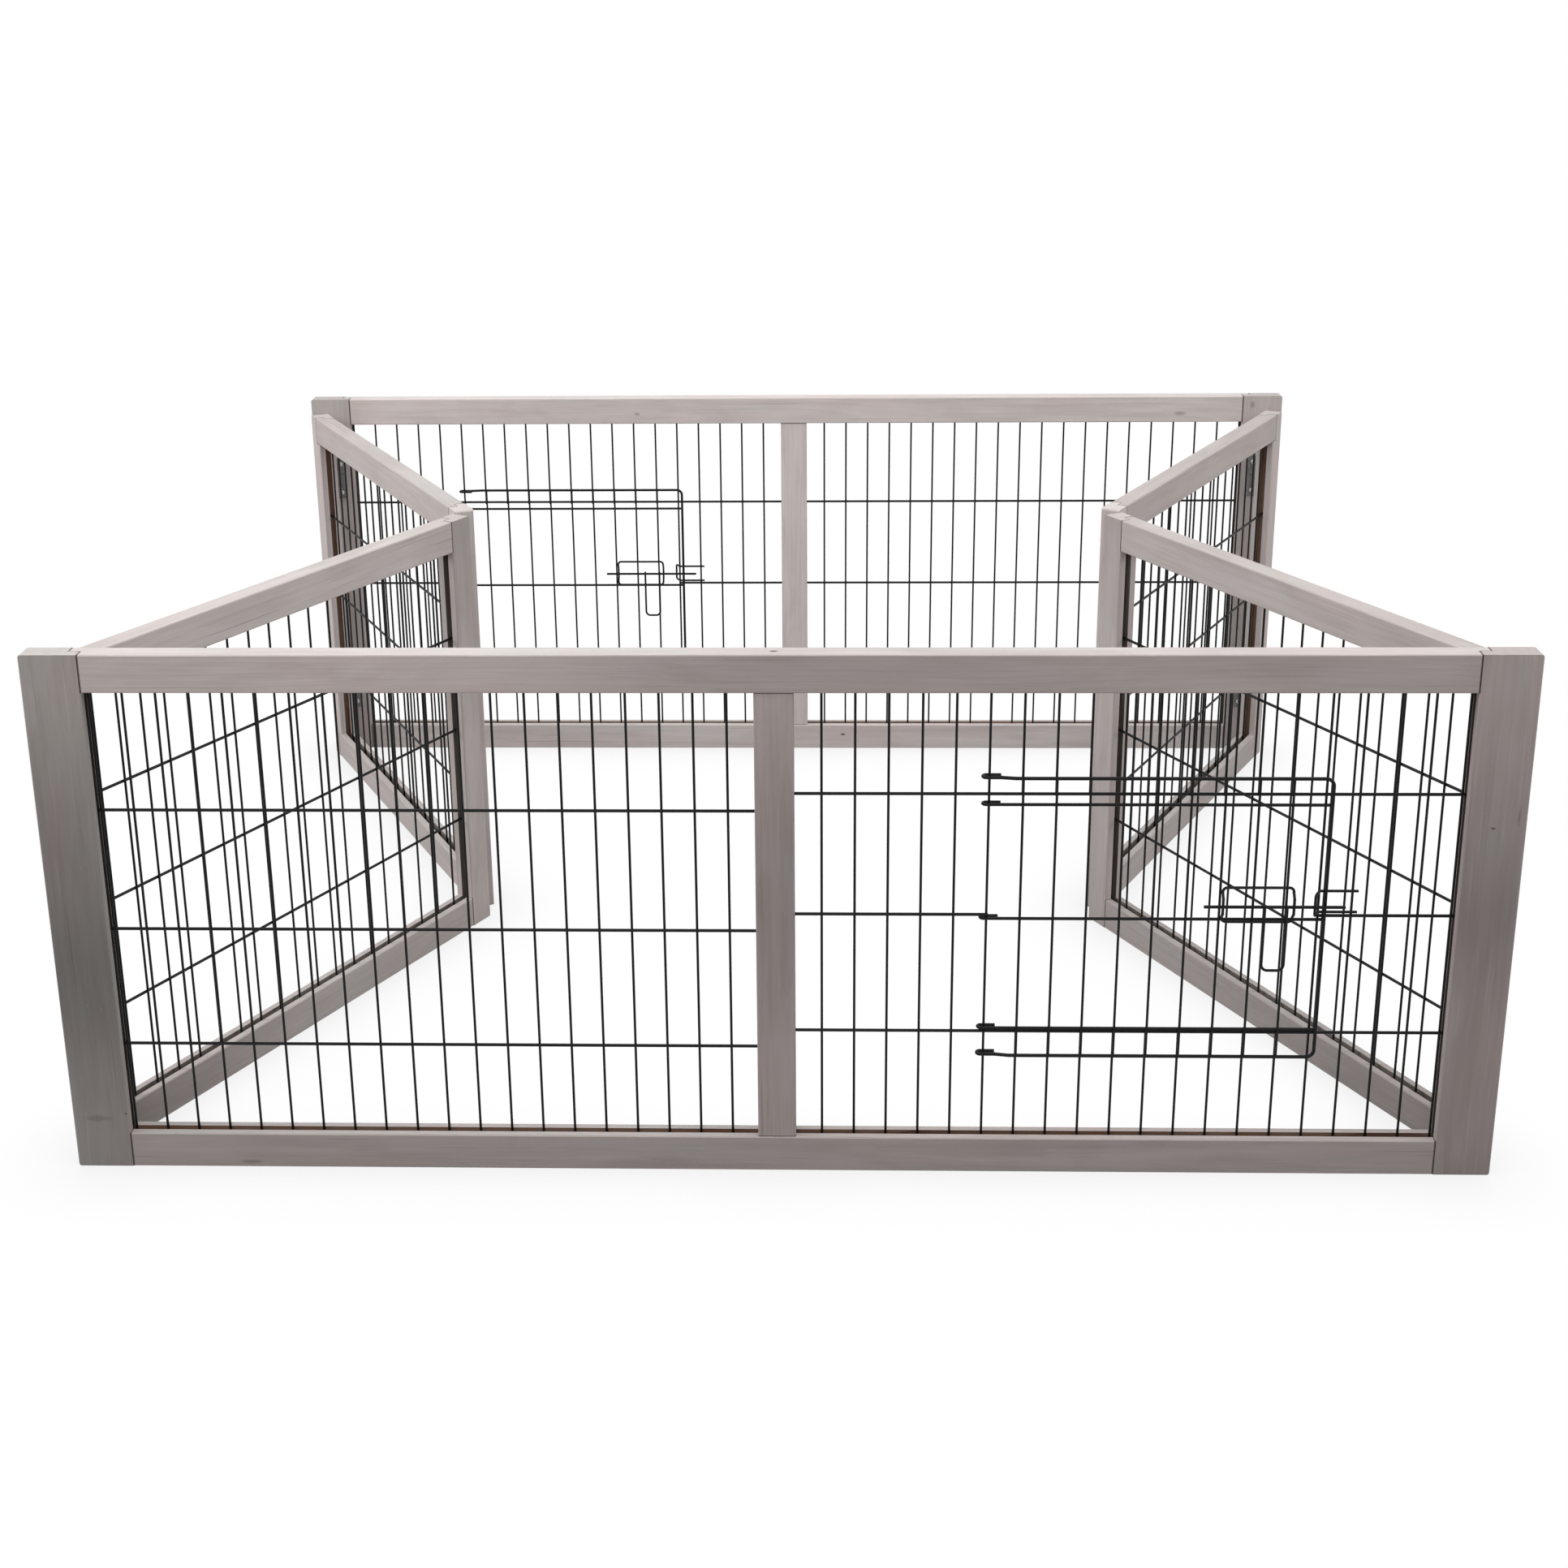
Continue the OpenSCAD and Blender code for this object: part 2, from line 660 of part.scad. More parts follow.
module back_left_stile() { back_stile(false); }
module back_right_stile() { back_stile(true); }
module back_top_rail() { color(WOOD) at_back_boards() panel_top_rail(); }
module back_bottom_rail() { color(WOOD) at_back_boards() panel_rail(); }
module back_mullion() { color(WOOD) at_back_boards() mullion(); }

module back_left_mesh() {
    color(WIRE) at_back() in_half(false) door_mesh(left_first, back_row_z);
}

module back_right_mesh() {
    color(WIRE) at_back() in_half(true)
        plain_mesh(half_open, panel_h, right_first, half_wires, back_row_z, row_pitch);
}

module back_door() {
    color(WIRE) at_back() in_half(false) at_door(left_first, back_row_z) door();
}

module back_bolt() {
    color(WIRE) at_back() in_half(false) at_door(left_first, back_row_z) bolt();
}

module back_hinge_leaves() { color(ZINC) at_back() at_panel_hinges([0, 1]) leaf(false); }
module back_hinge_pins() { color(STEEL) at_back() at_panel_hinges([0, 1]) pin(); }
module back_hinge_screws() { color(STEEL) at_back() at_panel_hinges([0, 1]) at_screws() screw(); }

// ---------------------------------------------------------------- side panels

module corner_stile(right, back) {
    color(WOOD) at_side(right, back) difference() {
        at_side_boards() stile(side_stile_w, side_h);
        at_corner_hinges() at_screws() screw_hole();
    }
}

module fold_stile(right, back) {
    color(WOOD) at_side(right, back) difference() {
        at_side_boards()
            translate([side_len, 0, 0]) mirror([1, 0, 0]) stile(side_stile_w, side_h);
        at_fold_hinges() at_screws() screw_hole();
    }
}

module side_top_rail(right, back) {
    color(WOOD) at_side(right, back) at_side_boards()
        translate([side_stile_w, 0, 0]) top_rail(side_open, side_h);
}

module side_bottom_rail(right, back) {
    color(WOOD) at_side(right, back) at_side_boards()
        translate([side_stile_w, 0, 0]) rail(side_open);
}

// The level wires are on the outside, as on the long panels
module side_mesh(right, back) {
    color(WIRE) at_side(right, back) at_side_boards()
        translate([side_stile_w, board_t - mesh_y, 0])
            mirror([0, 1, 0])
                plain_mesh(side_open, side_h, right ? right_wire_margin : left_wire_margin,
                    right ? right_side_wires : left_side_wires, side_row_z, side_row_pitch);
}

// The front side panels carry the outer knuckles and the pin of the fold hinges
module side_leaves(right, back) {
    color(ZINC) at_side(right, back) {
        at_corner_hinges() leaf(true);
        at_fold_hinges() leaf(back);
    }
}

module fold_pins(right) {
    color(STEEL) at_side(right, false) at_fold_hinges() pin();
}

module side_screws(right, back) {
    color(STEEL) at_side(right, back) {
        at_corner_hinges() at_screws() screw();
        at_fold_hinges() at_screws() screw();
    }
}

module left_front_corner_stile() { corner_stile(false, false); }
module left_front_fold_stile() { fold_stile(false, false); }
module left_front_top_rail() { side_top_rail(false, false); }
module left_front_bottom_rail() { side_bottom_rail(false, false); }
module left_front_mesh() { side_mesh(false, false); }
module left_front_hinge_leaves() { side_leaves(false, false); }
module left_front_hinge_screws() { side_screws(false, false); }

module left_back_corner_stile() { corner_stile(false, true); }
module left_back_fold_stile() { fold_stile(false, true); }
module left_back_top_rail() { side_top_rail(false, true); }
module left_back_bottom_rail() { side_bottom_rail(false, true); }
module left_back_mesh() { side_mesh(false, true); }
module left_back_hinge_leaves() { side_leaves(false, true); }
module left_back_hinge_screws() { side_screws(false, true); }

module right_front_corner_stile() { corner_stile(true, false); }
module right_front_fold_stile() { fold_stile(true, false); }
module right_front_top_rail() { side_top_rail(true, false); }
module right_front_bottom_rail() { side_bottom_rail(true, false); }
module right_front_mesh() { side_mesh(true, false); }
module right_front_hinge_leaves() { side_leaves(true, false); }
module right_front_hinge_screws() { side_screws(true, false); }

module right_back_corner_stile() { corner_stile(true, true); }
module right_back_fold_stile() { fold_stile(true, true); }
module right_back_top_rail() { side_top_rail(true, true); }
module right_back_bottom_rail() { side_bottom_rail(true, true); }
module right_back_mesh() { side_mesh(true, true); }
module right_back_hinge_leaves() { side_leaves(true, true); }
module right_back_hinge_screws() { side_screws(true, true); }

module left_fold_hinge_pins() { fold_pins(false); }
module right_fold_hinge_pins() { fold_pins(true); }

// ---------------------------------------------------------------- one part, or all of them

front_left_stile();
front_right_stile();
front_top_rail();
front_bottom_rail();
front_mullion();
front_left_mesh();
front_right_mesh();
front_door();
front_bolt();
back_left_stile();
back_right_stile();
back_top_rail();
back_bottom_rail();
back_mullion();
back_left_mesh();
back_right_mesh();
back_door();
back_bolt();
left_front_corner_stile();
left_front_fold_stile();
left_front_top_rail();
left_front_bottom_rail();
left_front_mesh();
left_back_corner_stile();
left_back_fold_stile();
left_back_top_rail();
left_back_bottom_rail();
left_back_mesh();
right_front_corner_stile();
right_front_fold_stile();
right_front_top_rail();
right_front_bottom_rail();
right_front_mesh();
right_back_corner_stile();
right_back_fold_stile();
right_back_top_rail();
right_back_bottom_rail();
right_back_mesh();
front_hinge_leaves();
back_hinge_leaves();
left_front_hinge_leaves();
left_back_hinge_leaves();
right_front_hinge_leaves();
right_back_hinge_leaves();
front_hinge_pins();
back_hinge_pins();
left_fold_hinge_pins();
right_fold_hinge_pins();
front_hinge_screws();
back_hinge_screws();
left_front_hinge_screws();
left_back_hinge_screws();
right_front_hinge_screws();
right_back_hinge_screws();
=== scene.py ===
import math

import bpy
from mathutils import Matrix, Vector

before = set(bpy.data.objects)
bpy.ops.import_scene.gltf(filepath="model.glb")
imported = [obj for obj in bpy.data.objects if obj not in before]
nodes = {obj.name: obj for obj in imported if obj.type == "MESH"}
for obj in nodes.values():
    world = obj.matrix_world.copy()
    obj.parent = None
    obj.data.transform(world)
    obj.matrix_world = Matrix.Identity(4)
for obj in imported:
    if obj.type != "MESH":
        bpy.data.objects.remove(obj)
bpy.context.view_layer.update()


# ------------------------------------------------------------------ sizes, in metres

def lengths(node):
    """How long a node is along x, y and z, to a micrometre."""
    return [round(length, 6) for length in nodes[node].dimensions]


# The far corner of the back right stile is the far corner of the run
FAR_CORNER = nodes["back_right_stile"].bound_box[6]
HALF_X, HALF_Y, PANEL_H = (round(reach, 6) for reach in FAR_CORNER)
STILE_W, BOARD_T = lengths("front_left_stile")[:2]
MULLION_W, MULLION_T = lengths("front_mullion")[:2]
RAIL_H = lengths("front_top_rail")[2]
SIDE_H = lengths("left_front_corner_stile")[2]
SIDE_STILE_W = 0.028
# The groove that holds the mesh, and the half-thickness tongue at each rail end
GROOVE, GROOVE_DEPTH = 0.006, 0.008
LAP = 0.009
# Angle between a side panel and a straight side
FOLD = math.radians(28)
# Distance between the hinge pins at the two ends of a side panel, and from a pin to the boards
PIN_TO_PIN, PIN_TO_BOARD = 0.521, 0.0025
# Gap between a side panel and the long panel that it meets
END_GAP = 0.001
# Where a side panel's boards start, counted from its corner pin, and how long they run
SIDE_START = END_GAP - PIN_TO_BOARD
SIDE_LEN = PIN_TO_PIN - PIN_TO_BOARD - SIDE_START
# Places of the corner pins
PIN_X = HALF_X - BOARD_T - PIN_TO_BOARD
PIN_Y = HALF_Y - BOARD_T - PIN_TO_BOARD

X, Y, Z = Vector((1, 0, 0)), Vector((0, 1, 0)), Vector((0, 0, 1))
NO_TINT = (1.0, 1.0, 1.0)


def shaded(colour, factor):
    """A colour made darker or lighter."""
    return tuple(c * factor for c in colour)


def tinted(colour, tint):
    """A colour with each channel multiplied by the tint's."""
    return tuple(c * t for c, t in zip(colour, tint))


# ------------------------------------------------------------------ a material's nodes

class Graph:
    """A material's nodes, with one method for each kind of step."""

    def __init__(self, name):
        self.mat = bpy.data.materials.new(name)
        self.mat.use_nodes = True
        self.tree = self.mat.node_tree
        self.tree.nodes.clear()
        out = self.tree.nodes.new("ShaderNodeOutputMaterial")
        self.shader = self.tree.nodes.new("ShaderNodeBsdfPrincipled")
        self.tree.links.new(self.shader.outputs[0], out.inputs[0])
        coords = self.tree.nodes.new("ShaderNodeTexCoord")
        self.place = coords.outputs["Object"]
        self.normal = coords.outputs["Normal"]

    def node(self, kind, values=(), **settings):
        """A new node with its settings, and values for its first inputs."""
        n = self.tree.nodes.new(kind)
        for setting, choice in settings.items():
            setattr(n, setting, choice)
        for socket, value in zip(n.inputs, values):
            self.put(socket, value)
        return n

    def put(self, socket, value):
        """Gives a socket a number or a colour, or links another node's output to it."""
        if isinstance(value, bpy.types.NodeSocket):
            self.tree.links.new(value, socket)
        else:
            socket.default_value = value

    def math(self, operation, *values):
        return self.node("ShaderNodeMath", values, operation=operation).outputs[0]

    def vector(self, operation, a, b):
        return self.node("ShaderNodeVectorMath", (a, b), operation=operation).outputs["Vector"]

    def dot(self, a, b):
        n = self.node("ShaderNodeVectorMath", (a, b), operation="DOT_PRODUCT")
        return n.outputs["Value"]

    def facing(self, direction):
        """1 on faces that are square to a direction, and 0 on those that lie along it."""
        return self.math("ABSOLUTE", self.dot(self.normal, tuple(direction)))

    def xyz(self, x, y, z):
        return self.node("ShaderNodeCombineXYZ", (x, y, z)).outputs[0]

    def noise(self, where, scale, detail, rough=0.5, distortion=0.0):
        n = self.node("ShaderNodeTexNoise")
        self.put(n.inputs["Vector"], where)
        self.put(n.inputs["Scale"], scale)
        self.put(n.inputs["Detail"], detail)
        self.put(n.inputs["Roughness"], rough)
        self.put(n.inputs["Distortion"], distortion)
        return n.outputs[0]

    def cells(self, where, scale):
        n = self.node("ShaderNodeTexVoronoi")
        self.put(n.inputs["Vector"], where)
        self.put(n.inputs["Scale"], scale)
        return n.outputs["Distance"]

    def span(self, value, start, end, out_start=0.0, out_end=1.0):
        """Goes smoothly from out_start to out_end while value goes from start to end."""
        values = (value, start, end, out_start, out_end)
        return self.node("ShaderNodeMapRange", values, interpolation_type="SMOOTHSTEP").outputs[0]

    def mix(self, factor, a, b, how="MIX"):
        n = self.node("ShaderNodeMix", data_type="RGBA", blend_type=how, clamp_factor=True)
        self.put(n.inputs["Factor"], factor)
        colours = [s for s in n.inputs if s.type == "RGBA"]
        for socket, colour in zip(colours, (a, b)):
            self.put(socket, colour if isinstance(colour, bpy.types.NodeSocket) else (*colour, 1.0))
        return next(s for s in n.outputs if s.type == "RGBA")

    def layer(self, under, colour, pattern, start, end, most):
        """Lays a colour over another, up to most, while pattern goes from start to end."""
        return self.mix(self.math("MULTIPLY", self.span(pattern, start, end), most), under, colour)

    def ramp(self, value, stops, top):
        """A smooth curve through stops, which are (place, height) pairs with heights up to top."""
        n = self.node("ShaderNodeValToRGB", (value,))
        n.color_ramp.interpolation = "CARDINAL"
        elements = n.color_ramp.elements
        while len(elements) < len(stops):
            elements.new(0.5)
        for element, (place, height) in zip(elements, stops):
            element.position = place
            element.color = (height / top, height / top, height / top, 1.0)
        return self.math("MULTIPLY", n.outputs[0], top)

    def grey(self, value):
        return self.node("ShaderNodeCombineColor", (value, value, value)).outputs[0]

    def bump(self, height, distance, strength, under=None):
        n = self.node("ShaderNodeBump")
        self.put(n.inputs["Height"], height)
        self.put(n.inputs["Distance"], distance)
        self.put(n.inputs["Strength"], strength)
        if under is not None:
            self.put(n.inputs["Normal"], under)
        return n.outputs[0]

    def finish(self, colour, roughness, normal, metallic=0.0, specular=0.5):
        self.put(self.shader.inputs["Base Color"], colour)
        self.put(self.shader.inputs["Roughness"], roughness)
        self.put(self.shader.inputs["Normal"], normal)
        self.put(self.shader.inputs["Metallic"], metallic)
        self.put(self.shader.inputs["Specular IOR Level"], specular)
        return self.mat


# ------------------------------------------------------------------ wood

# The glaze where it is thin and where it covers well, and how thickness turns it green or pink
GLAZE_THIN, GLAZE_FULL = (0.590, 0.528, 0.511), (0.690, 0.634, 0.620)
TO_GREEN, TO_PINK = (0.925, 0.965, 0.955), (0.985, 0.930, 0.930)
BARE_EDGE = (0.50, 0.405, 0.345)
GRIME = (0.29, 0.245, 0.215)
SPECK = (0.80, 0.77, 0.74)
JOINT_DARK = (0.075, 0.058, 0.050)
# Wood inside the grooves, which were cut after glazing: light and dark grain, and dust on it
RAW_BROWN = ((0.310, 0.196, 0.134), (0.170, 0.102, 0.068), (0.380, 0.290, 0.232))
RAW_GREY = ((0.200, 0.178, 0.160), (0.105, 0.092, 0.083), (0.290, 0.265, 0.245))
# For the front stiles' grooves: the same bare wood, greyer and darkened with painted shade
RAW_IN_PAINTED_SHADE = ((0.105, 0.082, 0.072), (0.058, 0.045, 0.040), (0.160, 0.135, 0.120))
# Colour of each kind of mark, and how fully it covers the glaze
KNOT = ((0.105, 0.078, 0.066), 0.85)
FAINT = ((0.225, 0.180, 0.162), 0.45)
PALE = ((0.640, 0.520, 0.430), 0.60)

# Growth rings: how many to a metre, how far one wanders, and how sharply each darkens
RINGS = 330.0
RING_WANDER = 0.016
RING_SHARP = 3.0
# Place of the stem's middle, and how far and how fast that changes from seed to seed
HEART_V, HEART_V_VARIES, HEART_V_RATE = 0.020, 0.013, 2.3
HEART_W, HEART_W_VARIES, HEART_W_RATE = -0.050, -0.016, 1.9
# How far the grain shifts from one seed to the next, so that each board has its own
SEED_STEP = 3.17
# How far from a long edge and from an end the board is worn or grimy
EDGE_WEAR, EDGE_SHARP = 0.0018, 0.0004
GRIME_REACH, GRIME_END = 0.030, 0.002
# Width of the hairline at a joint
JOINT_LINE = 0.0007
# How far the bare wood runs past a groove's walls (where it starts to stop, and stops), its
# bottom, its mouth and its ends, so that none of the groove is missed
PAST_WALL, PAST_WALL_END = 0.00005, 0.00012
PAST_BOTTOM, PAST_MOUTH, PAST_END = 0.0004, 0.0005, 0.0001
# Top of the curve of painted light and shade along a board, and the share of it that the
# narrow faces show
LIGHT_ALONG_TOP, LIGHT_ALONG_NARROW = 1.5, 0.25
# A mark's rim: how ragged it is, and where it starts and ends, in the mark's radii
RAGGED = 0.9
RIM_START, RIM_END = 0.45, 1.15
# Specks: how many to a metre along and across the board, and their size as a share of that space
SPECKS_ALONG, SPECKS_ACROSS = 70.0, 85.0
SPECK_START, SPECK_END = 0.022, 0.045


class Wood(Graph):
    """Planed pine under a thin greige glaze.
    u, v and w are places along the board, towards the panel's inside and through the board's
    thickness, from its middle. directions and half hold its directions and its half sizes in
    that order."""

    def __init__(self, name, centre, directions, half, seed):
        super().__init__(name)
        self.directions = directions
        self.half_u, self.half_v, self.half_w = half
        from_middle = self.vector("SUBTRACT", self.place, tuple(centre))
        self.u, self.v, self.w = (self.dot(from_middle, tuple(way)) for way in directions)
        self.far_u = self.math("ABSOLUTE", self.u)
        self.shift = seed * SEED_STEP
        # Fibres are very long and thin, and strokes and cracks a little wider. The brush leaves
        # broad streaks, the glaze lies thicker in clouds, and its cast changes slowly.
        self.fibre = self.streaks(14.0, 620.0, moved=1.0, detail=4.0, rough=0.62)
        self.stroke = self.streaks(11.0, 300.0, moved=1.3, detail=1.0, rough=0.4)
        self.crack = self.streaks(3.5, 420.0, moved=2.1, detail=1.0, rough=0.4)
        self.brush = self.streaks(6.0, 130.0, moved=-1.0, detail=3.0, rough=0.6)
        self.cloud = self.streaks(9.0, 34.0, moved=0.6, detail=3.0, rough=0.55, distortion=0.6)
        self.cast = self.streaks(6.0, 22.0, moved=-0.4, detail=2.0, distortion=0.4)
        self.late = self.late_wood(seed)

    def streaks(self, along, across, moved, detail, rough=0.5, distortion=0.0):
        """Noise that is drawn out along the board. along and across are its scales there, to a
        metre, and moved is how far it goes with the shift."""
        where = self.xyz(self.math("MULTIPLY_ADD", self.u, along, self.shift * moved),
                         self.math("MULTIPLY", self.v, across),
                         self.math("MULTIPLY", self.w, across))
        return self.noise(where, 1.0, detail, rough, distortion)

    def late_wood(self, seed):
        """The hard, dark edge of each growth ring. The stem's middle lies outside the board."""
        heart_v = HEART_V + HEART_V_VARIES * math.sin(seed * HEART_V_RATE)
        heart_w = HEART_W + HEART_W_VARIES * math.cos(seed * HEART_W_RATE)
        dv = self.math("SUBTRACT", self.v, heart_v)
        dw = self.math("SUBTRACT", self.w, heart_w)
        squares = self.math("ADD", self.math("MULTIPLY", dv, dv), self.math("MULTIPLY", dw, dw))
        wander = self.streaks(2.6, 9.0, moved=1.0, detail=2.0)
        radius = self.math("MULTIPLY_ADD", wander, RING_WANDER, self.math("SQRT", squares))
        phase = self.math("FRACT", self.math("MULTIPLY", radius, RINGS))
        return self.math("POWER", phase, RING_SHARP)

    def glaze(self, thin, full, mottle):
        """The glaze with its clouds, brush strokes, grain and fine cracks."""
        body = self.mix(self.span(self.cloud, 0.30, 0.70), thin, full)
        green, pink = tinted(full, TO_GREEN), tinted(full, TO_PINK)
        body = self.layer(body, green, self.cast, 0.50, 0.66, most=0.66 * mottle)
        body = self.layer(body, pink, self.cast, 0.47, 0.32, most=0.52 * mottle)
        body = self.layer(body, shaded(full, 1.17), self.brush, 0.44, 0.74, most=0.28)
        body = self.layer(body, shaded(thin, 0.80), self.brush, 0.48, 0.26, most=0.28)
        body = self.mix(self.math("MULTIPLY", self.late, 0.11), body, shaded(thin, 0.58))
        body = self.layer(body, shaded(thin, 0.55), self.fibre, 0.54, 0.74, most=0.24)
        body = self.layer(body, shaded(full, 1.22), self.stroke, 0.63, 0.73, most=0.22 * mottle)
        return self.layer(body, shaded(thin, 0.40), self.crack, 0.725, 0.755, most=0.42)

    def painted_light_along(self, body, stops):
        """Paints light and shade along the board, most of all on its wide faces."""
        along = self.math("MULTIPLY_ADD", self.u, 0.5 / self.half_u, 0.5)
        change = self.math("SUBTRACT", self.ramp(along, stops, LIGHT_ALONG_TOP), 1.0)
        shown = self.span(self.facing(self.directions[2]), 0.5, 0.9, LIGHT_ALONG_NARROW, 1.0)
        factor = self.math("MULTIPLY_ADD", change, shown, 1.0)
        return self.mix(1.0, body, self.grey(factor), "MULTIPLY")

    def marked(self, body, place, radii, kind):
        """A knot or a bare spot with a ragged rim."""
        colour, cover = kind
        squares = []
        for where, middle, radius in zip((self.u, self.v, self.w), place, radii):
            away = self.math("DIVIDE", self.math("SUBTRACT", where, middle), radius)
            squares.append(self.math("POWER", away, 2.0))
        total = self.math("ADD", self.math("ADD", squares[0], squares[1]), squares[2])
        ragged = self.math("MULTIPLY_ADD", self.brush, RAGGED, -RAGGED / 2)
        away = self.math("ADD", self.math("SQRT", total), ragged)
        return self.mix(self.span(away, RIM_START, RIM_END, cover, 0.0), body, colour)

    def with_end_grain(self, body, thin, full):
        """Open end grain drinks the glaze and shows the rings."""
        end = self.span(self.facing(self.directions[0]), 0.80, 0.95)
        rings = self.mix(self.late, full, shaded(thin, 0.86))
        return self.mix(self.math("MULTIPLY", end, 0.85), body, rings)

    def near_edge(self, place, half):
        """1 at the board's edges and 0 between them, for v or w and its half size."""
        return self.span(self.math("ABSOLUTE", place), half - EDGE_WEAR, half - EDGE_SHARP)

    def worn(self, body):
        """Glaze rubbed thin on the long edges, faint grime towards the joints, and specks."""
        edge = self.math("MULTIPLY", self.near_edge(self.v, self.half_v),
                         self.near_edge(self.w, self.half_w))
        edge = self.math("MULTIPLY", edge, self.span(self.cloud, 0.44, 0.66))
        body = self.mix(self.math("MULTIPLY", edge, 0.40), body, BARE_EDGE)
        to_end = self.span(self.far_u, self.half_u - GRIME_REACH, self.half_u - GRIME_END)
        patchy = self.span(self.brush, 0.40, 0.75, 0.03, 0.20)
        body = self.mix(self.math("MULTIPLY", to_end, patchy), body, GRIME)
        where = self.xyz(self.math("MULTIPLY", self.u, SPECKS_ALONG),
                         self.math("MULTIPLY", self.v, SPECKS_ACROSS),
                         self.math("MULTIPLY_ADD", self.w, SPECKS_ACROSS, self.shift))
        speck = self.span(self.cells(where, 1.0), SPECK_START, SPECK_END, 0.40, 0.0)
        return self.mix(speck, body, SPECK)

    def jointed(self, body, kind, rear_sign):
        """Dark hairlines where a rail's shoulder and tongue meet the upright. rear_sign is 1
        where w grows towards the tongues' side, and -1 where it shrinks."""
        back_w = self.math("MULTIPLY", self.w, rear_sign)
        on_rear = self.math("GREATER_THAN", back_w, 0.0)
        if kind == "rail":
            reach = self.math("MULTIPLY_ADD", on_rear, LAP, self.half_u - JOINT_LINE)
            tongue = self.math("MULTIPLY", self.math("GREATER_THAN", self.far_u, self.half_u),
                               self.math("LESS_THAN", back_w, JOINT_LINE))
            line = self.math("MAXIMUM", self.math("GREATER_THAN", self.far_u, reach), tongue)
        elif kind == "stile":
            reach = self.math("MULTIPLY_ADD", on_rear, -LAP, self.half_v - JOINT_LINE)
            line = self.math("MULTIPLY", self.math("GREATER_THAN", self.v, reach),
                             self.math("GREATER_THAN", self.far_u, self.half_u - RAIL_H))
        else:
            line = self.math("GREATER_THAN", self.far_u, self.half_u - RAIL_H - JOINT_LINE)
        return self.mix(self.math("MULTIPLY", line, 0.88), body, JOINT_DARK)

    def grooved(self, body, kind, raw):
        """Bare wood in the groove for the mesh."""
        inside = self.span(self.math("ABSOLUTE", self.w), GROOVE / 2 + PAST_WALL,
                           GROOVE / 2 + PAST_WALL_END, 1.0, 0.0)
        rail_edge = self.half_u - RAIL_H
        if kind == "mullion":
            limits = [("LESS_THAN", self.far_u, rail_edge)]
        else:
            limits = [("GREATER_THAN", self.v, self.half_v - GROOVE_DEPTH - PAST_BOTTOM),
                      ("LESS_THAN", self.v, self.half_v + PAST_MOUTH)]
        if kind == "stile":
            limits.append(("LESS_THAN", self.far_u, rail_edge + GROOVE_DEPTH + PAST_END))
        for limit in limits:
            inside = self.math("MULTIPLY", inside, self.math(*limit))
        light, dark, dust = raw
        grain = self.mix(self.late, light, dark)
        grain = self.layer(grain, dust, self.cloud, 0.40, 0.64, most=0.55)
        return self.mix(inside, body, grain)

    def surface(self, body):
        """The finished material: a dull glaze, through which fibres and rings can be felt."""
        patchy = self.span(self.cloud, 0.25, 0.75, 0.50, 0.66)
        rough = self.math("MULTIPLY_ADD", self.fibre, 0.10, patchy)
        relief = self.bump(self.fibre, distance=0.00018, strength=0.45)
        relief = self.bump(self.late, distance=0.00010, strength=0.40, under=relief)
        relief = self.bump(self.brush, distance=0.00025, strength=0.30, under=relief)
        return self.finish(body, rough, relief, specular=0.32)


def seed_of(name):
    """A number from 1 to 15 that a board's name gives it."""
    return 1.0 + sum((i + 1) * ord(letter) for i, letter in enumerate(name)) % 97 / 7.0


def board(name, centre, along, inward, half, rear, tint=NO_TINT, value=1.0, end_value=1.0,
          raw=RAW_BROWN, mottle=1.0, light_along=(), marks=()):
    """Gives a board its own wood. rear is the way from its middle to its tongues' side.
    tint changes the glaze's colour. value sets how light the board is, partly its own tone and
    partly painted light and shade; end_value sets how light its ends are, and mottle how uneven
    it is. The light and shade painted along the board come as (place, strength) pairs. A mark
    has its place, its radii and its kind."""
    thick = along.cross(inward).normalized()
    kind = name.split("_")[-1]
    wood = Wood(name + "_wood", centre, (along, inward, thick), half, seed_of(name))
    # value makes the board lighter or darker: partly its own tone, partly painted light and shade
    thin = shaded(tinted(GLAZE_THIN, tint), value)
    full = shaded(tinted(GLAZE_FULL, tint), value)
    body = wood.glaze(thin, full, mottle)
    # Painted light and shade along the board
    if light_along:
        body = wood.painted_light_along(body, light_along)
    for place, radii, mark_kind in marks:
        body = wood.marked(body, place, radii, mark_kind)
    body = wood.with_end_grain(body, shaded(thin, end_value), shaded(full, end_value))
    body = wood.worn(body)
    body = wood.jointed(body, kind, math.copysign(1.0, thick.dot(rear)))
    body = wood.grooved(body, kind, raw)
    cover(name, wood.surface(body))


def cover(name, material):
    """Makes a material the only one of a CAD node."""
    materials = nodes[name].data.materials
    materials.clear()
    materials.append(material)


# ------------------------------------------------------------------ each board's own glaze

# A mark's place is on one of a board's wide faces, or on the edge that looks away from the mesh
FACE = BOARD_T / 2
RAIL_EDGE = -RAIL_H / 2
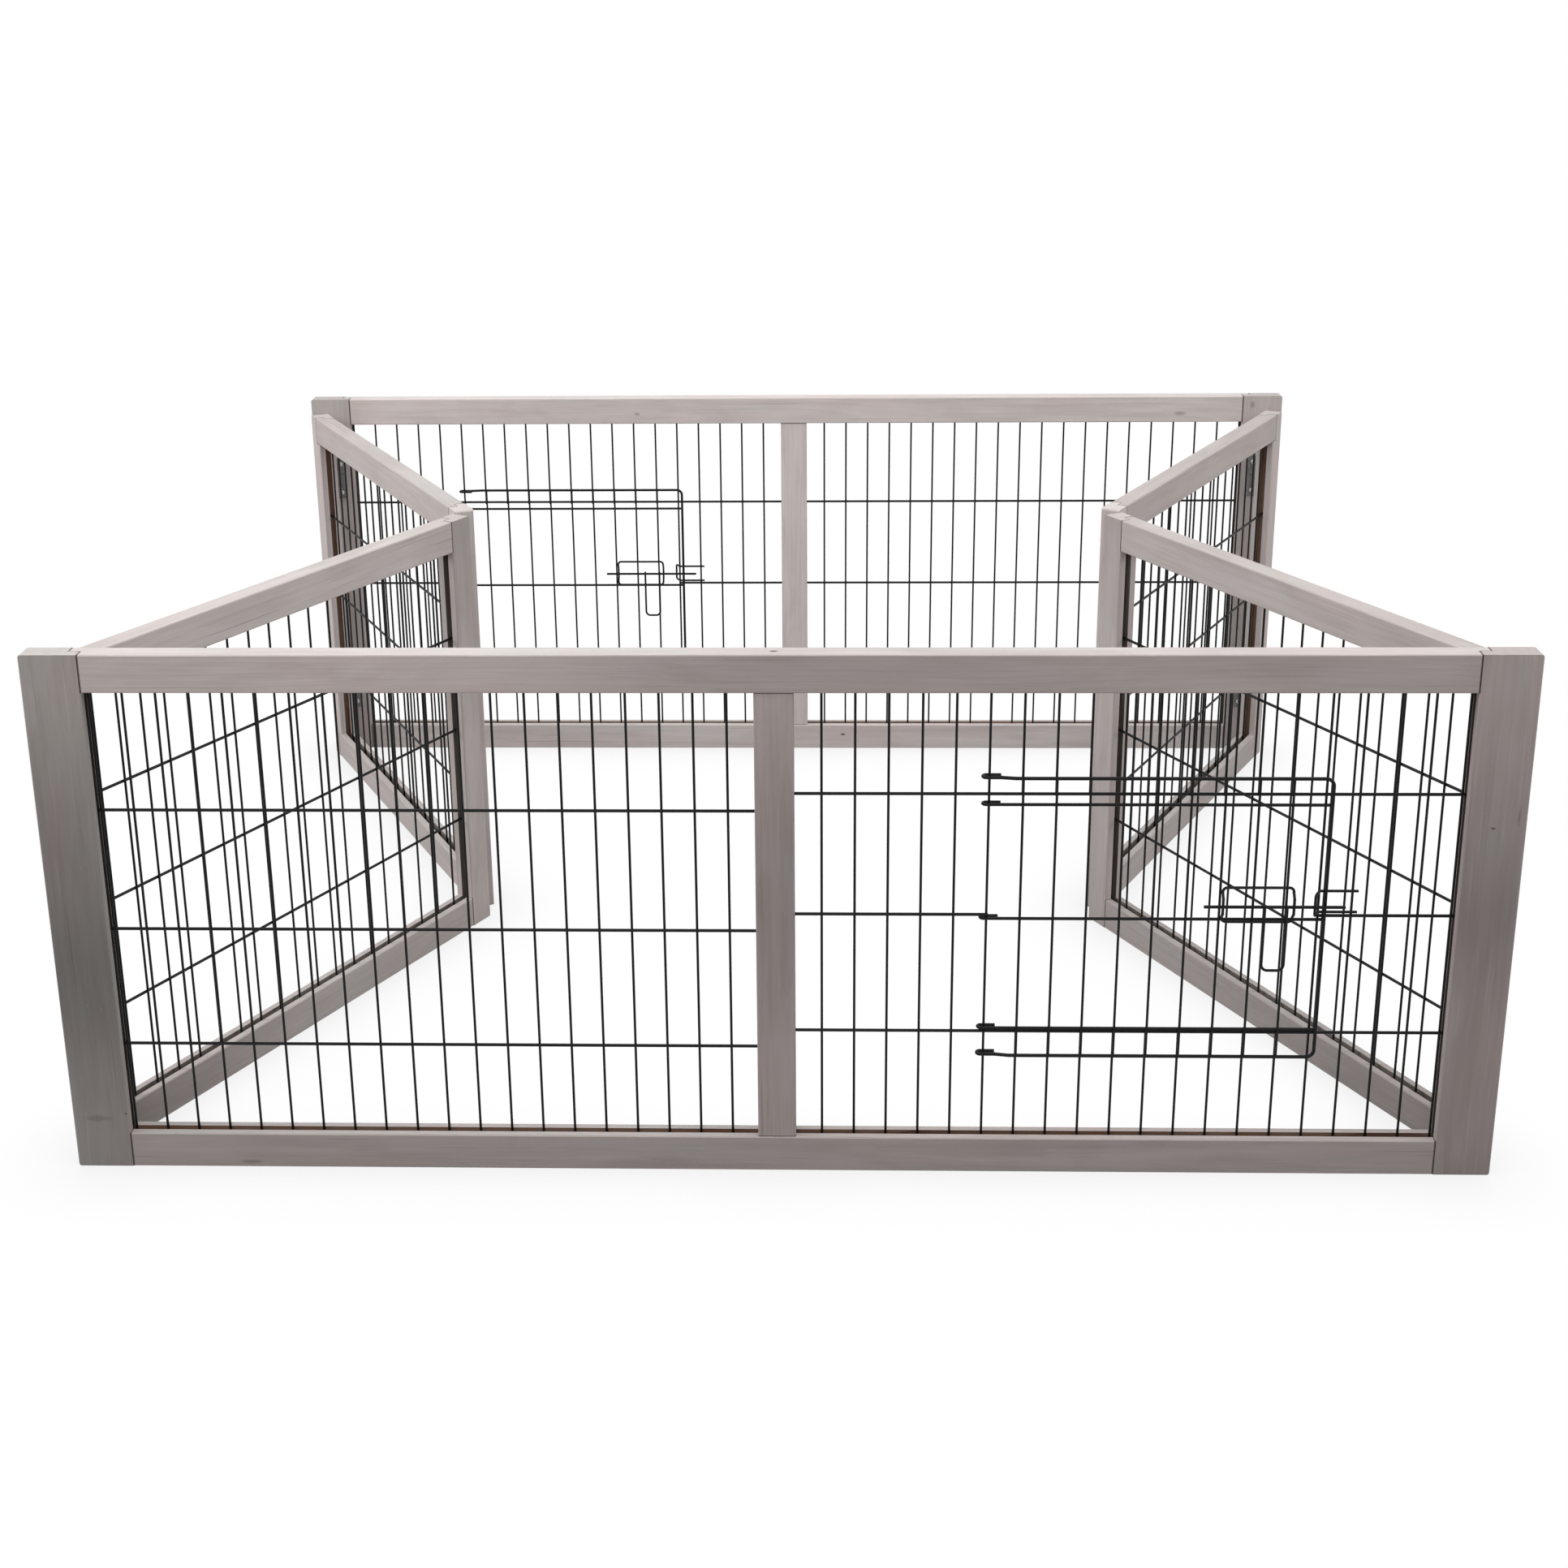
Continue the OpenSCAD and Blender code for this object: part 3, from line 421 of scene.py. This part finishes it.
# The places of the light and shade painted along a board run from one end of it to the other
# Each board's value is partly its own tone and partly painted light and shade
STYLE = {
    "front_left_stile": dict(
        tint=(0.965, 1.0, 0.985), value=0.76, end_value=1.38, raw=RAW_IN_PAINTED_SHADE, mottle=1.5,
        light_along=((0.0, 1.0), (0.2, 0.80), (0.38, 0.60), (0.55, 0.73), (0.75, 0.93), (1.0, 1.38)),
        marks=[((-0.1693, 0.0204, -FACE), (0.0010, 0.0008, 0.002), KNOT),
               ((-0.1738, -0.0018, -FACE), (0.0030, 0.0110, 0.002), FAINT)]),
    "front_right_stile": dict(
        tint=(1.0, 0.985, 0.985), value=0.79, end_value=1.12, raw=RAW_IN_PAINTED_SHADE, mottle=1.4,
        light_along=((0.0, 0.99), (0.3, 1.02), (0.5, 0.84), (0.65, 0.97), (0.8, 1.10), (1.0, 1.36)),
        marks=[((0.0798, 0.0023, FACE), (0.0010, 0.0024, 0.002), KNOT),
               ((0.0890, -0.0161, FACE), (0.0085, 0.0012, 0.002), FAINT)]),
    "front_top_rail": dict(
        value=1.06,
        light_along=((0.0, 1.30), (0.3, 1.25), (0.42, 1.02), (0.55, 0.94), (0.7, 1.03), (1.0, 1.02)),
        marks=[((0.0002, RAIL_EDGE, -0.0004), (0.0038, 0.0020, 0.0024), KNOT)]),
    "front_bottom_rail": dict(
        value=0.95, marks=[((-0.4241, -0.0102, FACE), (0.0110, 0.0020, 0.002), FAINT)]),
    "front_mullion": dict(
        tint=(1.0, 0.985, 0.985), value=0.92,
        light_along=((0.0, 1.04), (0.25, 1.0), (0.5, 0.90), (0.68, 0.92), (0.85, 1.12), (1.0, 1.20))),
    "back_left_stile": dict(value=0.88),
    "back_right_stile": dict(
        value=0.90, marks=[((0.2071, 0.0111, FACE), (0.0040, 0.0032, 0.002), FAINT)]),
    "back_top_rail": dict(
        value=1.20, marks=[((-0.1827, 0.0032, -FACE), (0.0042, 0.0024, 0.002), FAINT),
                           ((0.4479, 0.0050, -FACE), (0.0075, 0.0026, 0.002), FAINT)]),
    "back_bottom_rail": dict(
        value=1.17, marks=[((0.0581, 0.0029, FACE), (0.0034, 0.0017, 0.002), KNOT)]),
    "back_mullion": dict(value=1.24),
    "left_front_top_rail": dict(value=1.03),
    "left_front_bottom_rail": dict(
        value=0.84, raw=RAW_GREY,
        light_along=((0.0, 0.78), (0.25, 0.92), (0.5, 1.05), (0.75, 1.08), (1.0, 1.18))),
    "left_front_fold_stile": dict(
        value=0.97, raw=RAW_GREY, light_along=((0.0, 1.15), (0.5, 0.98), (1.0, 0.78)),
        marks=[((0.1647, -0.0138, FACE), (0.0060, 0.0016, 0.003), FAINT)]),
    "left_back_top_rail": dict(value=0.93, raw=RAW_GREY),
    "left_back_bottom_rail": dict(value=0.90, raw=RAW_GREY),
    "left_back_fold_stile": dict(value=1.14, raw=RAW_GREY),
    "right_front_top_rail": dict(
        value=0.92, raw=RAW_GREY,
        marks=[((0.0139, RAIL_EDGE, 0.0008), (0.0110, 0.0025, 0.0035), PALE)]),
    "right_front_bottom_rail": dict(
        value=0.70, raw=RAW_GREY, light_along=((0.0, 0.88), (0.3, 0.95), (0.65, 1.08), (1.0, 1.20))),
    "right_front_fold_stile": dict(
        raw=RAW_GREY, light_along=((0.0, 0.95), (0.5, 0.95), (1.0, 0.80)),
        marks=[((0.1664, -0.0138, -FACE), (0.0060, 0.0018, 0.003), FAINT),
               ((0.1210, -0.0138, -FACE), (0.0060, 0.0018, 0.003), FAINT)]),
    "right_back_top_rail": dict(value=0.88, raw=RAW_GREY),
    "right_back_bottom_rail": dict(value=0.86, raw=RAW_GREY),
    "right_back_fold_stile": dict(value=1.18, raw=RAW_GREY),
    "right_back_corner_stile": dict(
        marks=[((0.1919, 0.0096, FACE), (0.0065, 0.0040, 0.002), FAINT)]),
}


def long_panel(end, y):
    """Boards of the front or the back panel, whose middle plane is at y."""
    half_stile = (PANEL_H / 2, STILE_W / 2, BOARD_T / 2)
    half_rail = (HALF_X - STILE_W, RAIL_H / 2, BOARD_T / 2)
    half_mullion = (PANEL_H / 2, MULLION_W / 2, MULLION_T / 2)
    stile_x, middle_z = HALF_X - STILE_W / 2, PANEL_H / 2
    boards = {
        "left_stile": (Vector((-stile_x, y, middle_z)), Z, X, half_stile),
        "right_stile": (Vector((stile_x, y, middle_z)), Z, -X, half_stile),
        "top_rail": (Vector((0, y, PANEL_H - RAIL_H / 2)), X, -Z, half_rail),
        "bottom_rail": (Vector((0, y, RAIL_H / 2)), X, Z, half_rail),
        "mullion": (Vector((0, y, middle_z)), Z, X, half_mullion),
    }
    dress(end, boards, Y)


def side_panel(side, end, x_sign, y_sign):
    """Boards of one side panel, which starts at its corner pin and folds inwards."""
    run = Vector((-x_sign * math.sin(FOLD), -y_sign * math.cos(FOLD), 0))
    out = Vector((x_sign * math.cos(FOLD), -y_sign * math.sin(FOLD), 0))
    pin = Vector((x_sign * PIN_X, y_sign * PIN_Y, 0))
    start = pin + out * (PIN_TO_BOARD + BOARD_T / 2) + run * SIDE_START
    middle = start + run * SIDE_LEN / 2
    half_stile = (SIDE_H / 2, SIDE_STILE_W / 2, BOARD_T / 2)
    half_rail = (SIDE_LEN / 2 - SIDE_STILE_W, RAIL_H / 2, BOARD_T / 2)
    corner_stile = start + run * SIDE_STILE_W / 2 + Z * SIDE_H / 2
    fold_stile = start + run * (SIDE_LEN - SIDE_STILE_W / 2) + Z * SIDE_H / 2
    boards = {
        "corner_stile": (corner_stile, Z, run, half_stile),
        "fold_stile": (fold_stile, Z, -run, half_stile),
        "top_rail": (middle + Z * (SIDE_H - RAIL_H / 2), run, -Z, half_rail),
        "bottom_rail": (middle + Z * RAIL_H / 2, run, Z, half_rail),
    }
    dress(f"{side}_{end}", boards, out)


def dress(panel, boards, rear):
    """Gives each board of a panel its wood. boards holds each one's centre, its directions along
    itself and into the panel, and its half sizes."""
    for part, (centre, along, inward, half) in boards.items():
        name = f"{panel}_{part}"
        board(name, centre, along, inward, half, rear, **STYLE.get(name, {}))


long_panel("front", -HALF_Y + BOARD_T / 2)
long_panel("back", HALF_Y - BOARD_T / 2)
for side, x_sign in (("left", -1), ("right", 1)):
    for end, y_sign in (("front", -1), ("back", 1)):
        side_panel(side, end, x_sign, y_sign)


# ------------------------------------------------------------------ wire and hinges

WIRE_DUST = (0.10, 0.095, 0.088)
# Rub marks on the zinc lie level, so their noise changes fastest upwards
RUB_SCALES = (300.0, 300.0, 2600.0)
# Faces that meet at less than this shade as one
SMOOTH_UP_TO = math.radians(38)


def coated_wire(name, colour, smoothest):
    """Steel wire under a thin black coat with a slight orange peel. smoothest is the roughness
    where the coat is at its best."""
    g = Graph(name)
    peel = g.noise(g.place, scale=900.0, detail=2.0)
    patch = g.noise(g.place, scale=38.0, detail=3.0, rough=0.6)
    dust = g.noise(g.place, scale=210.0, detail=4.0, rough=0.65)
    base = g.mix(g.span(patch, 0.35, 0.70), colour, shaded(colour, 1.9))
    base = g.layer(base, WIRE_DUST, dust, 0.60, 0.80, most=0.18)
    rough = g.span(patch, 0.30, 0.75, smoothest, smoothest + 0.16)
    relief = g.bump(peel, distance=0.00008, strength=0.5)
    return g.finish(base, rough, relief, specular=0.16)


def plated(name, colour, dull, smoothest):
    """Thin zinc plating with small crystals, rub marks and a dull bloom."""
    g = Graph(name)
    crystal = g.cells(g.place, scale=900.0)
    bloom = g.noise(g.place, scale=150.0, detail=4.0, rough=0.6)
    rub = g.noise(g.vector("MULTIPLY", g.place, RUB_SCALES), scale=1.0, detail=3.0)
    base = g.mix(g.span(bloom, 0.42, 0.70), colour, dull)
    base = g.mix(g.math("MULTIPLY", crystal, 0.25), base, shaded(colour, 0.8))
    patchy = g.span(bloom, 0.35, 0.75, smoothest, smoothest + 0.22)
    rough = g.math("ADD", patchy, g.math("MULTIPLY", rub, 0.08))
    relief = g.bump(rub, distance=0.00006, strength=0.4)
    return g.finish(base, rough, relief, metallic=1.0)


mesh_wire = coated_wire("coated_mesh_wire", (0.0046, 0.0048, 0.0051), 0.36)
door_wire = coated_wire("coated_door_wire", (0.0044, 0.0045, 0.0048), 0.32)
leaf_zinc = plated("plated_leaf", (0.30, 0.30, 0.295), (0.19, 0.19, 0.185), 0.34)
fixing_zinc = plated("plated_fixing", (0.60, 0.59, 0.56), (0.40, 0.38, 0.34), 0.28)
METAL = {
    "mesh": mesh_wire,
    "door": door_wire,
    "bolt": door_wire,
    "leaves": leaf_zinc,
    "pins": fixing_zinc,
    "screws": fixing_zinc,
}
# Wires and hinges shade smoothly, and boards keep their flat faces
for name, piece in nodes.items():
    kind = name.split("_")[-1]
    if kind in METAL:
        cover(name, METAL[kind])
        piece.data.shade_smooth()
        piece.data.set_sharp_from_angle(angle=SMOOTH_UP_TO)


# ------------------------------------------------------------------ studio

WHITE = (1, 1, 1, 1)
FLOOR_GREY = (0.30, 0.30, 0.30, 1)
SKY, SKY_STRENGTH = (1.0, 0.94, 0.93, 1), 0.135
# The floor is this far from its middle to its sides, and lies this far under the boards
FLOOR_HALF, FLOOR_DROP = 30, 0.0002
# The floor's shadow: how far it reaches, how bright the floor is where it is deepest, and how
# open the view from the floor is there
SHADOW_REACH, SHADOW_LEVEL, SHADOW_OPEN = 0.09, 0.86, 0.45
SHADOW_SAMPLES = 4
# Where the lights beside the run aim, and how wide and high they are
AIM, SIDE_BOX = (0, 0, 0.2), (1.6, 1.2)


def seen_directly(tree):
    """1 for rays that show the background itself: from the camera, off gloss and through glass."""
    path = tree.nodes.new("ShaderNodeLightPath")
    found = path.outputs["Is Camera Ray"]
    for kind in ("Is Glossy Ray", "Is Transmission Ray"):
        either = tree.nodes.new("ShaderNodeMath")
        either.operation = "MAXIMUM"
        tree.links.new(found, either.inputs[0])
        tree.links.new(path.outputs[kind], either.inputs[1])
        found = either.outputs[0]
    return found


def shown_white(owner, output_kind, lighting_kind, colour, white_kind):
    """Makes a material or a world light the object with its own colour, and look white itself.
    Returns its nodes for the light and for the white."""
    owner.use_nodes = True
    tree = owner.node_tree
    tree.nodes.clear()
    output = tree.nodes.new(output_kind)
    mix = tree.nodes.new("ShaderNodeMixShader")
    lighting = tree.nodes.new(lighting_kind)
    lighting.inputs["Color"].default_value = colour
    white = tree.nodes.new(white_kind)
    white.inputs["Color"].default_value = WHITE
    tree.links.new(seen_directly(tree), mix.inputs[0])
    tree.links.new(lighting.outputs[0], mix.inputs[1])
    tree.links.new(white.outputs[0], mix.inputs[2])
    tree.links.new(mix.outputs[0], output.inputs[0])
    return lighting, white


def floor_material():
    """A floor that looks white, with a soft shadow where the boards stand on it."""
    material = bpy.data.materials.new("studio_floor")
    _, white = shown_white(material, "ShaderNodeOutputMaterial", "ShaderNodeBsdfDiffuse",
                           FLOOR_GREY, "ShaderNodeEmission")
    tree = material.node_tree
    close = tree.nodes.new("ShaderNodeAmbientOcclusion")
    close.samples = SHADOW_SAMPLES
    close.inputs["Distance"].default_value = SHADOW_REACH
    shade = tree.nodes.new("ShaderNodeMapRange")
    for socket, number in zip(shade.inputs[1:], (SHADOW_OPEN, 1.0, SHADOW_LEVEL, 1.0)):
        socket.default_value = number
    tree.links.new(close.outputs["AO"], shade.inputs[0])
    tree.links.new(shade.outputs[0], white.inputs["Strength"])
    return material


def softbox(name, place, aim, size, power, colour):
    """A soft light that looks from its place to its aim. Its power is in watts."""
    light = bpy.data.lights.new(name, "AREA")
    light.shape = "RECTANGLE"
    light.size, light.size_y = size
    light.energy = power
    light.color = colour
    lamp = bpy.data.objects.new(name, light)
    scene.collection.objects.link(lamp)
    lamp.location = place
    lamp.rotation_euler = (Vector(aim) - Vector(place)).to_track_quat("-Z", "Y").to_euler()


scene = bpy.context.scene
scene.view_settings.view_transform = "Standard"

floor_mesh = bpy.data.meshes.new("studio_floor")
corners = [(FLOOR_HALF * a, FLOOR_HALF * b, 0) for a, b in ((-1, -1), (1, -1), (1, 1), (-1, 1))]
floor_mesh.from_pydata(corners, [], [(0, 1, 2, 3)])
floor_mesh.materials.append(floor_material())
floor = bpy.data.objects.new("studio_floor", floor_mesh)
scene.collection.objects.link(floor)
floor.location.z = -FLOOR_DROP

scene.world = bpy.data.worlds.new("studio")
sky, _ = shown_white(scene.world, "ShaderNodeOutputWorld", "ShaderNodeBackground", SKY,
                     "ShaderNodeBackground")
sky.inputs["Strength"].default_value = SKY_STRENGTH

softbox("overhead", (0.0, -0.05, 2.3), (0, 0, 0), (2.6, 2.2), 33.2, (0.955, 1.0, 1.0))
softbox("left_side", (-2.6, -0.4, 1.5), AIM, SIDE_BOX, 36, (1.0, 0.965, 0.955))
softbox("right_side", (2.6, -0.4, 1.5), AIM, SIDE_BOX, 25, (1.0, 0.945, 0.925))
softbox("front_fill", (-0.4, -3.0, 1.8), AIM, SIDE_BOX, 14.6, (1.0, 0.915, 0.905))


# ------------------------------------------------------------------ camera

# The camera that took the photograph, solved from the corners and wires of the run. The
# photograph's width, the focal length and the middle of the view are in the photograph's pixels.
PHOTO_W = 1932
FOCAL = 2668.887
VIEW_X, VIEW_Y = 942.353, 814.4345
# The sensor's width in millimetres, and how near and how far the camera sees
SENSOR = 36.0
CLIP = (0.05, 60)
# Its place, and its turns in radians
CAMERA_PLACE = (0.0417514, -1.5214216 - HALF_Y, 0.9287946)
YAW, PITCH, ROLL = 0.0314, 0.317, -0.01


def camera_turn(yaw, pitch, roll):
    """The camera's rotation: yaw turns it left from +Y, pitch tips it down, and roll lifts its
    right side."""
    right = Vector((math.cos(yaw), math.sin(yaw), 0))
    level = Vector((-math.sin(yaw), math.cos(yaw), 0))
    ahead = level * math.cos(pitch) - Z * math.sin(pitch)
    up = right.cross(ahead)
    turned_right = right * math.cos(roll) + up * math.sin(roll)
    turned_up = up * math.cos(roll) - right * math.sin(roll)
    return Matrix((turned_right, turned_up, -ahead)).transposed().to_4x4()


camera_data = bpy.data.cameras.new("camera")
camera_data.sensor_fit = "HORIZONTAL"
camera_data.sensor_width = SENSOR
camera_data.lens = FOCAL / PHOTO_W * SENSOR
camera_data.shift_x = (PHOTO_W / 2 - VIEW_X) / PHOTO_W
camera_data.shift_y = (VIEW_Y - PHOTO_W / 2) / PHOTO_W
camera_data.clip_start, camera_data.clip_end = CLIP
camera = bpy.data.objects.new("camera", camera_data)
scene.collection.objects.link(camera)
camera.matrix_world = Matrix.Translation(CAMERA_PLACE) @ camera_turn(YAW, PITCH, ROLL)
scene.camera = camera
